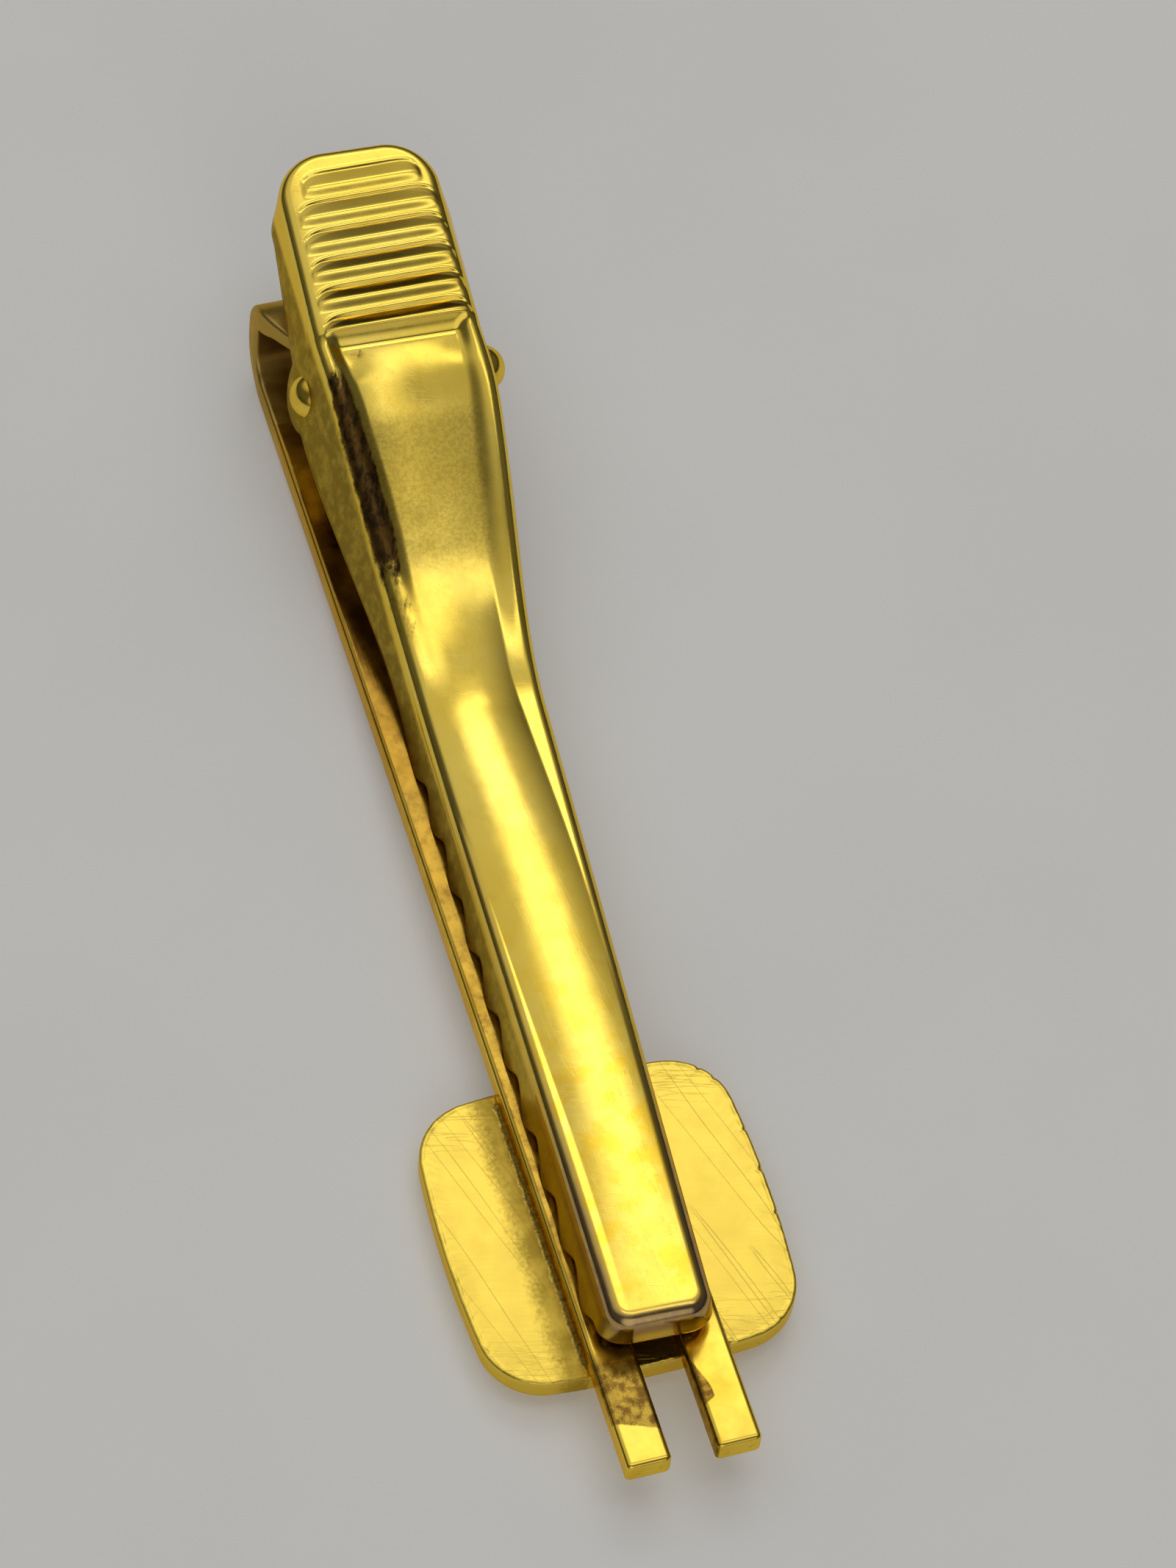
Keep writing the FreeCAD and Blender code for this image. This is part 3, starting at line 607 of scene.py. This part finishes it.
def make_solder(name, side):
    """Lumpy run of solder in the corner between a rail and the plate."""
    along = np.linspace(-SOLDER_HALF_L, SOLDER_HALF_L, 300)
    rings = []
    for i, x in enumerate(along):
        lump = noise.noise(Vector((x * 1.7, side * 5.0, 0.3)))
        lump += 0.5 * noise.noise(Vector((x * 5.0, side, 2.0)))
        taper = min(1, 0.25 + min(i, len(along) - 1 - i) / 10)
        high = (SOLDER_H + 0.08 * lump) * taper
        wide = (SOLDER_W + 0.14 * noise.noise(Vector((x * 2.3, 7.0, side)))) * taper
        foot = np.array([x, side * (FORK_HALF_W - 0.02), PLATE_T - 0.02])
        ring = [foot]
        for turn in np.linspace(0, math.pi / 2, 7):
            grain = 0.008 * noise.noise(Vector((x * 6, turn * 2, side * 9.0)))
            out = side * (wide * (1 - math.sin(turn)) + grain)
            ring.append(foot + np.array([0, out, high * (1 - math.cos(turn))]))
        rings.append(np.array(ring))
    return mesh_object(name, on_fork(np.concatenate(rings)), stacked_faces(rings))


COIL_R = 0.66
COIL_TURNS = 1.5
COIL_PITCH = 0.9
WIRE_R = 0.19
WIRE_GAP = 0.05
LOWER_ARM_X = 3.3
UPPER_ARM_X = 1.2


def make_spring():
    """Coil round the pin with an arm on the return leg and an arm under the pad."""
    first = -COIL_TURNS * COIL_PITCH / 2
    leg_z = BEND_TOP_Z + STOCK_HALF_T - (LOWER_ARM_X - BEND_X) * LEG_SLOPE
    start = np.array([LOWER_ARM_X, first, leg_z + WIRE_R + WIRE_GAP])
    turn_in = np.array([PIN_X, first, PIN_Z - COIL_R])
    path = []
    for s in np.linspace(0, 1, 16, endpoint=False):
        path.append(start + (turn_in - start) * np.array([s, s, smooth(s, 0, 1)]))
    last = 2 * math.pi * COIL_TURNS
    for a in np.linspace(0, last, 80, endpoint=False):
        y = first + COIL_PITCH * a / (2 * math.pi)
        path.append(np.array([PIN_X + COIL_R * math.sin(a), y, PIN_Z - COIL_R * math.cos(a)]))
    top = np.array([PIN_X + COIL_R * math.sin(last), -first, PIN_Z - COIL_R * math.cos(last)])
    end = np.array([UPPER_ARM_X, -first, pad_z(UPPER_ARM_X) - SHEET - WIRE_R - WIRE_GAP])
    for s in np.linspace(0, 1, 18):
        path.append(top + (end - top) * np.array([s, s, 0.5 * s + 0.5 * smooth(s, 0, 1)]))
    path = np.array(path)
    ahead = np.gradient(path, axis=0)
    ahead /= np.linalg.norm(ahead, axis=1)[:, None]
    sideways = np.cross(ahead, np.array([0, 1.0, 0.0]))
    sideways /= np.linalg.norm(sideways, axis=1)[:, None]
    upward = np.cross(sideways, ahead)
    rings = []
    for p, u, v in zip(path, sideways, upward):
        turn = np.linspace(0, 2 * math.pi, 12, endpoint=False)[:, None]
        rings.append(p + WIRE_R * (np.cos(turn) * u + np.sin(turn) * v))
    return mesh_object("spring_coil", np.concatenate(rings) + LEVER_SHIFT, stacked_faces(rings))


GRAZING_TINT = (1.0, 0.80, 0.42, 1.0)


class Look:
    """A metal material whose textures are laid out in millimetres of the object."""

    def __init__(self, name):
        self.material = bpy.data.materials.new(name)
        self.material.use_nodes = True
        self.tree = self.material.node_tree
        self.shader = self.tree.nodes["Principled BSDF"]
        self.shader.inputs["Metallic"].default_value = 1.0
        self.shader.inputs["Specular Tint"].default_value = GRAZING_TINT
        where = self.tree.nodes.new("ShaderNodeTexCoord")
        self.mm = self.node("ShaderNodeVectorMath", operation="SCALE")
        self.tree.links.new(where.outputs["Object"], self.mm.inputs[0])
        self.mm.inputs["Scale"].default_value = 1 / MM
        self.bumped = None

    def node(self, kind, **settings):
        made = self.tree.nodes.new(kind)
        for key, value in settings.items():
            setattr(made, key, value)
        return made

    def put(self, value, socket):
        """Set a number or colour on the socket, or link another node's output to it."""
        if isinstance(value, (int, float)):
            socket.default_value = value
        elif isinstance(value, tuple):
            socket.default_value = value + (1,) if len(value) == 3 and socket.type == "RGBA" else value
        else:
            self.tree.links.new(value, socket)

    def place(self, stretch=(1, 1, 1), turn=0.0):
        """The place in mm, turned about z by degrees and then stretched."""
        spin = self.node("ShaderNodeMapping", vector_type="POINT")
        spin.inputs["Rotation"].default_value = (0, 0, math.radians(-turn))
        self.tree.links.new(self.mm.outputs["Vector"], spin.inputs["Vector"])
        grow = self.node("ShaderNodeMapping", vector_type="POINT")
        grow.inputs["Scale"].default_value = stretch
        self.tree.links.new(spin.outputs["Vector"], grow.inputs["Vector"])
        return grow.outputs["Vector"]

    def noise(self, scale, detail=3.0, stretch=(1, 1, 1), turn=0.0, rough=0.55):
        made = self.node("ShaderNodeTexNoise")
        self.tree.links.new(self.place(stretch, turn), made.inputs["Vector"])
        made.inputs["Scale"].default_value = scale
        made.inputs["Detail"].default_value = detail
        made.inputs["Roughness"].default_value = rough
        return made.outputs["Fac"]

    def cells(self, scale):
        made = self.node("ShaderNodeTexVoronoi")
        self.tree.links.new(self.place(), made.inputs["Vector"])
        made.inputs["Scale"].default_value = scale
        return made.outputs["Distance"]

    def span(self, value, low, high, to_low=0.0, to_high=1.0):
        made = self.node("ShaderNodeMapRange", interpolation_type="SMOOTHSTEP")
        self.put(value, made.inputs["Value"])
        for key, number in (("From Min", low), ("From Max", high), ("To Min", to_low), ("To Max", to_high)):
            made.inputs[key].default_value = number
        return made.outputs["Result"]

    def math(self, operation, a, b=0.0):
        made = self.node("ShaderNodeMath", operation=operation)
        self.put(a, made.inputs[0])
        self.put(b, made.inputs[1])
        return made.outputs[0]

    def times(self, first, *others):
        for other in others:
            first = self.math("MULTIPLY", first, other)
        return first

    def plus(self, first, *others):
        for other in others:
            first = self.math("ADD", first, other)
        return first

    def mix(self, share, a, b):
        made = self.node("ShaderNodeMix", data_type="RGBA")
        self.put(share, made.inputs[0])
        self.put(a, made.inputs[6])
        self.put(b, made.inputs[7])
        return made.outputs[2]

    def painted(self, name):
        made = self.node("ShaderNodeAttribute", attribute_name=name)
        return made.outputs["Fac"]

    def along(self, axis, turn=0.0):
        parts = self.node("ShaderNodeSeparateXYZ")
        self.tree.links.new(self.place(turn=turn), parts.inputs["Vector"])
        return parts.outputs[axis]

    def hairlines(self, turn, length, scale, width=0.012):
        """Thin lines in one direction, as scratches."""
        value = self.noise(scale, 2.0, (1 / length, 1, 1), turn)
        away = self.math("ABSOLUTE", self.math("SUBTRACT", value, 0.5))
        return self.span(away, 0.0, width, 1.0, 0.0)

    def bump(self, height, strength, distance):
        made = self.node("ShaderNodeBump")
        made.inputs["Strength"].default_value = strength
        made.inputs["Distance"].default_value = distance * MM
        self.tree.links.new(height, made.inputs["Height"])
        if self.bumped is not None:
            self.tree.links.new(self.bumped, made.inputs["Normal"])
        self.bumped = made.outputs["Normal"]

    def done(self, colour, roughness):
        self.put(colour, self.shader.inputs["Base Color"])
        self.put(roughness, self.shader.inputs["Roughness"])
        if self.bumped is not None:
            self.tree.links.new(self.bumped, self.shader.inputs["Normal"])
        return self.material


GOLD = (0.93, 0.67, 0.095)
PALE_GOLD = (0.96, 0.72, 0.13)
DEEP_GOLD = (0.80, 0.52, 0.05)
ORANGE_GOLD = (0.95, 0.60, 0.03)
DARK_REFLECTION_GOLD = (0.15, 0.10, 0.025)
BARE_METAL_AND_DARK_REFLECTION = (0.40, 0.26, 0.15)
OLIVE = (0.50, 0.36, 0.06)
BROWN = (0.16, 0.085, 0.02)
BLACKENED = (0.05, 0.03, 0.012)
GROOVE_SHADE_BROWN = (0.11, 0.055, 0.01)
RUST = (0.42, 0.20, 0.025)
PLATE_GOLD = (0.88, 0.64, 0.095)
PLATE_SHADE = (0.82, 0.60, 0.09)
PLATE_STAIN = (0.34, 0.22, 0.03)
RAIL_SHADE = (0.24, 0.13, 0.02)
RAIL_STAIN = (0.20, 0.105, 0.02)
BEND_BRASS = (0.42, 0.30, 0.09)


def lever_look():
    look = Look("lever_gold")
    colour = look.mix(look.span(look.noise(0.3, 3.0), 0.35, 0.7), GOLD, PALE_GOLD)
    colour = look.mix(look.span(look.noise(1.1, 5.0), 0.52, 0.75, 0.0, 0.35), colour, DEEP_GOLD)
    blotches = look.span(look.noise(0.9, 6.0, rough=0.65), 0.45, 0.62)
    toward_tip = look.span(look.along(0), -16.0, -3.0, 0.0, 0.7)
    colour = look.mix(look.times(blotches, toward_tip), colour, ORANGE_GOLD)
    satin = look.painted("satin")
    speckle = look.times(satin, look.span(look.noise(6.0, 5.0, rough=0.7), 0.40, 0.62))
    colour = look.mix(look.times(satin, 0.35), colour, OLIVE)
    colour = look.mix(look.times(speckle, 0.6), colour, OLIVE)
    # Tarnish in streaks along the left rim of the hollow
    streaks = look.noise(2.2, 6.0, (0.6, 1.5, 1.0), -12, 0.72)
    patchy = look.plus(look.painted("tarnish"), look.times(look.math("SUBTRACT", streaks, 0.5), 1.5))
    tarnish = look.times(look.span(patchy, 0.30, 0.85), look.span(look.painted("tarnish"), 0.03, 0.25))
    dark = look.mix(look.span(streaks, 0.42, 0.6), BROWN, BLACKENED)
    colour = look.mix(tarnish, colour, dark)
    # Edges rubbed to the bare metal, with a painted dark reflection on the nose; a painted dark reflection
    # on the rougher left wall; painted shade in the rib grooves
    worn_and_dark_reflection = look.times(look.painted("worn_and_dark_reflection"), look.span(look.noise(1.5, 5.0), 0.25, 0.6, 0.7, 1.0))
    colour = look.mix(look.times(worn_and_dark_reflection, 0.9), colour, BARE_METAL_AND_DARK_REFLECTION)
    dull_wall_dark_reflection = look.times(look.painted("dull_wall_dark_reflection"), look.span(look.noise(1.8, 5.0), 0.3, 0.6, 0.75, 1.0))
    colour = look.mix(look.times(dull_wall_dark_reflection, 0.85), colour, DARK_REFLECTION_GOLD)
    colour = look.mix(look.times(look.painted("groove_shade"), 0.85), colour, GROOVE_SHADE_BROWN)
    marks = look.hairlines(8, 16, 2.6)
    cross = look.hairlines(70, 10, 1.7, 0.007)
    rough = look.span(look.noise(0.8, 4.0), 0.3, 0.7, 0.12, 0.20)
    rough = look.plus(rough, look.times(dull_wall_dark_reflection, 0.15), look.times(marks, 0.05))
    rough = look.plus(rough, look.times(satin, 0.14), look.times(tarnish, 0.25))
    look.bump(look.noise(0.6, 2.0), 0.10, 0.05)
    look.bump(look.span(look.cells(3.2), 0.0, 0.10), 0.10, 0.02)
    look.bump(look.plus(marks, cross), 0.05, 0.01)
    return look.done(colour, rough)


def plate_look():
    look = Look("plate_gold")
    turn = math.degrees(FORK_TURN)
    colour = look.mix(look.span(look.noise(0.3, 4.0), 0.35, 0.7), PLATE_GOLD, PLATE_SHADE)
    across = look.along(1, turn)
    lengthwise = look.along(0, turn)
    # Stain beside the left rail
    grain = look.noise(6.0, 6.0, rough=0.7)
    shifted = look.plus(across, look.times(look.math("SUBTRACT", grain, 0.5), 1.2))
    band = look.times(look.span(shifted, -4.15, -3.2), look.span(shifted, -2.85, -2.6, 1.0, 0.0))
    stain = look.times(band, look.span(look.noise(0.8, 4.0), 0.3, 0.65, 0.6, 1.0))
    colour = look.mix(look.times(stain, 0.72), colour, PLATE_STAIN)
    specks = look.span(look.cells(0.6), 0.02, 0.05, 1.0, 0.0)
    colour = look.mix(look.times(specks, 0.5), colour, BROWN)
    # Grinding marks near the ends, scratches and a fine grain
    toward_ends = look.span(look.math("ABSOLUTE", lengthwise), 3.6, 5.6)
    ground = look.times(look.hairlines(78, 12, 3.2, 0.03), toward_ends)
    scratches = look.hairlines(20, 24, 0.7, 0.004)
    fine = look.noise(7.0, 3.0, (0.08, 1, 1), 78)
    rough = look.span(look.noise(0.9, 4.0), 0.3, 0.7, 0.27, 0.30)
    rough = look.plus(rough, look.times(stain, 0.2))
    look.bump(fine, 0.20, 0.01)
    look.bump(ground, 0.30, 0.012)
    look.bump(scratches, 0.25, 0.012)
    return look.done(colour, rough)


def fork_look():
    look = Look("fork_gold")
    turn = math.degrees(FORK_TURN)
    colour = look.mix(look.span(look.noise(0.4, 4.0), 0.35, 0.7), GOLD, DEEP_GOLD)
    lengthwise = look.along(0, turn)
    across = look.along(1, turn)
    height = look.along(2)
    grain = look.noise(1.6, 6.0, rough=0.65)
    wear = look.plus(look.times(lengthwise, -0.03), grain)
    colour = look.mix(look.span(wear, 0.75, 1.4, 0.0, 0.6), colour, RUST)
    # Painted shade, with some tarnish, on the tops of the rails under the lever
    under = look.times(look.span(lengthwise, 4.8, 6.2, 1.0, 0.0), look.span(lengthwise, -40.0, -36.0))
    under = look.times(under, look.span(across, -2.62, -2.5), look.span(height, 2.2, 2.35))
    under = look.times(under, look.span(grain, 0.3, 0.6, 1.0, 0.7))
    colour = look.mix(under, colour, RAIL_SHADE)
    # Stain on the left rail, with a slanted end
    slanted = look.math("SUBTRACT", lengthwise, look.times(across, 0.36))
    slanted = look.plus(slanted, look.times(grain, 0.3))
    left = look.times(look.span(across, -0.9, -0.8, 1.0, 0.0), look.span(slanted, 10.22, 10.32, 1.0, 0.0))
    left = look.times(left, look.span(lengthwise, 5.6, 6.8), look.span(height, 2.15, 2.3))
    # Stain along the inner edge of the right rail
    bulge = look.span(lengthwise, 7.0, 8.8, 0.0, 0.45)
    bulge = look.times(bulge, look.span(lengthwise, 8.95, 9.3, 1.0, 0.0))
    streak = look.span(look.math("SUBTRACT", across, bulge), 0.96, 1.02, 1.0, 0.0)
    streak = look.times(streak, look.span(across, 0.0, 0.1), look.span(lengthwise, 6.0, 7.2))
    mottle = look.span(look.noise(2.6, 6.0, rough=0.65), 0.38, 0.62, 0.6, 1.0)
    stain = look.times(look.plus(left, streak), mottle)
    colour = look.mix(stain, colour, RAIL_STAIN)
    bend = look.span(lengthwise, -41.0, -38.5, 1.0, 0.0)
    colour = look.mix(look.times(bend, 0.75), colour, BEND_BRASS)
    lines = look.hairlines(turn, 26, 3.5, 0.015)
    rough = look.span(look.noise(1.0, 4.0), 0.3, 0.7, 0.14, 0.24)
    rough = look.plus(rough, look.times(bend, 0.15), look.times(stain, 0.12))
    look.bump(look.noise(0.8, 2.0), 0.10, 0.04)
    look.bump(lines, 0.05, 0.01)
    return look.done(colour, rough)


def pin_look():
    look = Look("pin_gold")
    colour = look.mix(look.span(look.noise(1.4, 4.0), 0.35, 0.7), GOLD, DEEP_GOLD)
    rough = look.span(look.noise(2.0, 4.0), 0.3, 0.7, 0.12, 0.22)
    look.bump(look.noise(3.0, 3.0), 0.12, 0.03)
    return look.done(colour, rough)


def solder_look():
    look = Look("solder")
    grain = look.noise(6.0, 5.0)
    colour = look.mix(look.span(grain, 0.35, 0.65), (0.92, 0.68, 0.14), (0.60, 0.38, 0.05))
    colour = look.mix(look.span(look.noise(3.0, 4.0), 0.50, 0.68, 0.0, 0.45), colour, BROWN)
    rough = look.span(look.noise(5.0, 4.0), 0.3, 0.7, 0.2, 0.4)
    look.bump(look.noise(9.0, 4.0), 0.3, 0.03)
    return look.done(colour, rough)


def spring_look():
    look = Look("spring_wire")
    colour = look.mix(look.span(look.noise(3.0, 4.0), 0.4, 0.7), (0.50, 0.46, 0.40), (0.24, 0.20, 0.16))
    rough = look.span(look.noise(4.0, 4.0), 0.3, 0.7, 0.22, 0.4)
    look.bump(look.noise(10.0, 3.0), 0.12, 0.02)
    return look.done(colour, rough)


def dress(obj, material, node):
    """Give a piece its material and slot, in place of a node of the part."""
    obj.data.materials.clear()
    obj.data.materials.append(material)
    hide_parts(node)
    return obj


def repaint(node, material):
    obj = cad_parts[node]
    obj.data.materials.clear()
    obj.data.materials.append(material)


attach(dress(make_lever(), lever_look(), "clamp_lever"), "lever")
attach(dress(make_fork(), fork_look(), "front_fork"), "front")
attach(dress(make_plate(), plate_look(), "front_plate"), "front")
solder = solder_look()
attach(dress(make_solder("solder_run_left", -1), solder, "solder_left"), "front")
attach(dress(make_solder("solder_run_right", 1), solder, "solder_right"), "front")
spring = dress(make_spring(), spring_look(), "torsion_spring")
# The coil winds up from its lower arm on the fork to its upper arm under the pad.
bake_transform(spring)
repaint("hinge_pin", pin_look())

# Floor: it touches the plate's edge and the bend, as the clip lies in the photograph.
PLATE_REST_X = 6.2
BEND_REST_X = 41.6
FLOOR_TILT = math.atan2(PLATE_T, BEND_REST_X - PLATE_REST_X)
FLOOR_GAP = 0.03
FLOOR_HALF = 3.0
FLOOR_LIFT = 0.12
FLOOR_GREYS = ((0.83, 0.83, 0.82), (0.87, 0.87, 0.86))


def make_floor():
    """Pale paper, whose colour is lifted where it is seen and not as a light on the clip."""
    count = 25
    edge = np.linspace(-FLOOR_HALF, FLOOR_HALF, count)
    points = [(x, y, 0.0) for x in edge for y in edge]
    mesh = bpy.data.meshes.new("floor")
    mesh.from_pydata(points, [], grid_faces(count, count))
    floor = bpy.data.objects.new("floor", mesh)
    bpy.context.scene.collection.objects.link(floor)
    floor.rotation_euler = (0, FLOOR_TILT, 0)
    floor.location = (-PLATE_REST_X * MM, 0, -FLOOR_GAP * MM)
    look = Look("floor_paper")
    look.shader.inputs["Metallic"].default_value = 0.0
    look.shader.inputs["Specular Tint"].default_value = (1, 1, 1, 1)
    look.shader.inputs["Emission Color"].default_value = (1.0, 0.99, 0.97, 1)
    path = look.node("ShaderNodeLightPath").outputs
    seen = look.math("MAXIMUM", path["Is Camera Ray"], path["Is Glossy Ray"])
    seen = look.math("MAXIMUM", seen, path["Is Transmission Ray"])
    look.put(look.times(seen, FLOOR_LIFT), look.shader.inputs["Emission Strength"])
    colour = look.mix(look.span(look.noise(0.05, 3.0), 0.3, 0.7), *FLOOR_GREYS)
    look.bump(look.noise(2.0, 3.0), 0.05, 0.05)
    mesh.materials.append(look.done(colour, 0.9))


KEY = (-0.515, 0.187, 0.837)
CANOPY = (-0.36, -0.06, 0.93)
OVERHEAD = (0.04, 0.0, 1.0)
STRIP = ((-0.13, -0.04, 0.99), (-0.01, 0.16, 0.99), (0.10, 0.35, 0.93))
FRONT = (0.85, -0.15, 0.40)
# Direction, half angle of the whole patch and of its bright middle in degrees, and level
PATCHES = [(CANOPY, 50, 22, 0.47), (KEY, 12, 3, 1.05), (FRONT, 36, 14, 0.75), (OVERHEAD, 100, 60, 0.10)]
PATCHES += [(part, 10, 2, 0.95) for part in STRIP]


def make_world():
    """A dim room with soft patches of light: a canopy, a key, a strip and a light in front."""
    world = bpy.data.worlds.new("studio")
    bpy.context.scene.world = world
    world.use_nodes = True
    tree = world.node_tree
    background = tree.nodes["Background"]
    background.inputs["Color"].default_value = (1.0, 0.985, 0.96, 1)
    where = tree.nodes.new("ShaderNodeTexCoord")
    total = None
    for direction, wide, full, level in PATCHES:
        dot = tree.nodes.new("ShaderNodeVectorMath")
        dot.operation = "DOT_PRODUCT"
        dot.inputs[1].default_value = Vector(direction).normalized()
        tree.links.new(where.outputs["Generated"], dot.inputs[0])
        span = tree.nodes.new("ShaderNodeMapRange")
        span.interpolation_type = "SMOOTHSTEP"
        span.inputs["From Min"].default_value = math.cos(math.radians(wide))
        span.inputs["From Max"].default_value = math.cos(math.radians(full))
        span.inputs["To Max"].default_value = level
        tree.links.new(dot.outputs["Value"], span.inputs["Value"])
        if total is None:
            total = span.outputs["Result"]
            continue
        add = tree.nodes.new("ShaderNodeMath")
        add.operation = "ADD"
        tree.links.new(total, add.inputs[0])
        tree.links.new(span.outputs["Result"], add.inputs[1])
        total = add.outputs[0]
    tree.links.new(total, background.inputs["Strength"])


CLIP_MIDDLE = (-0.012, 0, 0.004)


def make_lamp(name, direction, distance, size, level):
    lamp = bpy.data.lights.new(name, "AREA")
    lamp.shape = "RECTANGLE"
    lamp.size, lamp.size_y = size
    lamp.energy = level * math.pi * size[0] * size[1]
    obj = bpy.data.objects.new(name, lamp)
    bpy.context.scene.collection.objects.link(obj)
    toward = Vector(direction).normalized()
    obj.location = Vector(CLIP_MIDDLE) + toward * distance
    obj.rotation_euler = (-toward).to_track_quat("-Z", "Y").to_euler()


# Camera fitted to the photograph
CAMERA_PLACE = (0.10645553, -0.04347287, 0.19971682)
CAMERA_TURN = (34.01657, -4.26829, 75.56276)
FOCAL_PIXELS = 8000
FRAME_HEIGHT = 2133


def make_camera():
    camera = bpy.data.cameras.new("camera")
    camera.sensor_fit = "VERTICAL"
    camera.sensor_height = 36
    camera.lens = camera.sensor_height * FOCAL_PIXELS / FRAME_HEIGHT
    camera.clip_start = 0.01
    obj = bpy.data.objects.new("camera", camera)
    bpy.context.scene.collection.objects.link(obj)
    obj.location = CAMERA_PLACE
    obj.rotation_euler = Euler([math.radians(a) for a in CAMERA_TURN], "XYZ")
    bpy.context.scene.camera = obj


make_floor()
make_world()
make_lamp("soft_key", KEY, 0.6, (0.26, 0.10), 0.5)
make_camera()
bpy.context.scene.view_settings.view_transform = "Standard"
